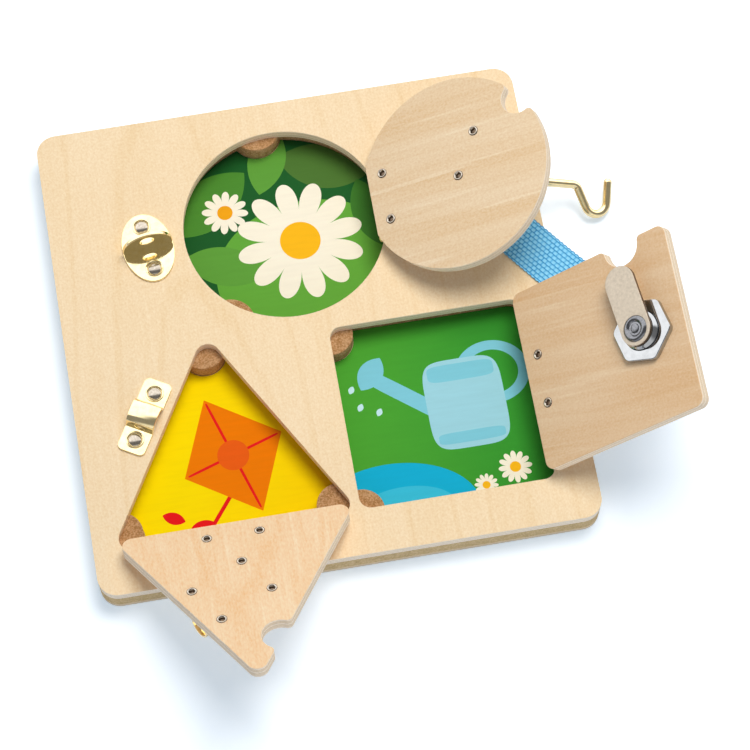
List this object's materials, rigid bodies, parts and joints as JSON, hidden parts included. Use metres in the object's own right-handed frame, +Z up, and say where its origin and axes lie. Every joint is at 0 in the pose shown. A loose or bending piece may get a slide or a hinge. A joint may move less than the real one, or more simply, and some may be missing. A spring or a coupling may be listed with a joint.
{
  "type": "wooden busy board",
  "caption": "Square wooden busy board with round, square and triangular hinged doors over picture recesses, held by a hook and eye, a cam lock with key on a strap, and a slide bolt.",
  "frame": {"origin": "centre of the board's flat underside", "axes": "+X to the board's right, +Y away from the child, +Z up out of the board's face"},
  "size_m": [0.3044, 0.3143, 0.0896],
  "materials": {
    "plywood": "clear matt lacquer over birch plywood",
    "door_plywood": "clear matt lacquer over birch plywood",
    "fibreboard": "raw sawn edge of fibreboard",
    "card_round": "laminated printed card",
    "card_square": "laminated printed card",
    "card_triangle": "laminated printed card",
    "brass": "brass plating, polished",
    "rivet_steel": "bright nickel plating",
    "bright_steel": "chrome plating, polished",
    "dark_steel": "dark zinc plating",
    "zinc": "yellow-grey zinc plating, satin",
    "webbing": "woven webbing",
    "loop_cord": "braided cord"
  },
  "bodies": {
    "root": {"back_panel": "plywood", "core_frame": "fibreboard", "top_panel": "plywood", "picture_round": "card_round", "picture_square": "card_square", "picture_triangle": "card_triangle", "board_leaf_round": "brass", "board_leaf_square": "brass", "board_leaf_triangle": "brass", "eye_plate": "brass", "bolt_keeper": "brass", "board_rivets": "rivet_steel", "strap": "webbing", "strap_washer": "bright_steel", "strap_screw": "bright_steel"},
    "round_door": {"round_door_panel": "door_plywood", "round_door_leaf": "brass", "round_hinge_pin": "brass", "hook_plate": "brass", "round_door_rivets": "rivet_steel"},
    "hook": {"hook": "brass"},
    "square_door": {"square_door_panel": "door_plywood", "square_door_leaf": "brass", "square_hinge_pin": "brass", "lock_housing": "bright_steel", "lock_nut": "bright_steel", "square_door_rivets": "rivet_steel", "key_loop": "loop_cord"},
    "lock": {"lock_plug": "bright_steel", "lock_cam": "zinc", "cam_screw": "dark_steel", "key": "bright_steel"},
    "triangle_door": {"triangle_door_panel": "door_plywood", "triangle_door_leaf": "brass", "triangle_hinge_pin": "brass", "bolt_barrel": "brass", "triangle_door_rivets": "rivet_steel"},
    "bolt": {"bolt_rod": "brass", "bolt_knob": "brass"}
  },
  "joints": [
    {"name": "round_door_hinge", "type": "hinge", "parent": "root", "child": "round_door", "pos_m": [0.0426, 0.0568, 0.02085], "axis": [0, -1, 0], "range_deg": [0, 153]},
    {"name": "square_door_hinge", "type": "hinge", "parent": "root", "child": "square_door", "pos_m": [0.1044, -0.0544, 0.02085], "axis": [0, -1, 0], "range_deg": [0, 138.5], "deforming": ["strap"]},
    {"name": "triangle_door_hinge", "type": "hinge", "parent": "root", "child": "triangle_door", "pos_m": [-0.0564, -0.1027, 0.02085], "axis": [-1, 0, 0], "range_deg": [0, 152.3]},
    {"name": "hook_swing", "type": "hinge", "parent": "round_door", "child": "hook", "pos_m": [0.09706, 0.0638, 0.03754], "axis": [-0.4669, -0.8517, -0.2379], "range_deg": [0, 55]},
    {"name": "bolt_slide", "type": "slide", "parent": "triangle_door", "child": "bolt", "axis": [-0.866, -0.4427, 0.2324], "range_m": [0, 0.02]},
    {"name": "lock_turn", "type": "hinge", "parent": "square_door", "child": "lock", "pos_m": [0.15788, -0.0542, 0.06997], "axis": [0.6626, 0, -0.749], "range_deg": [0, 97], "deforming": ["key_loop", "strap"]}
  ]
}
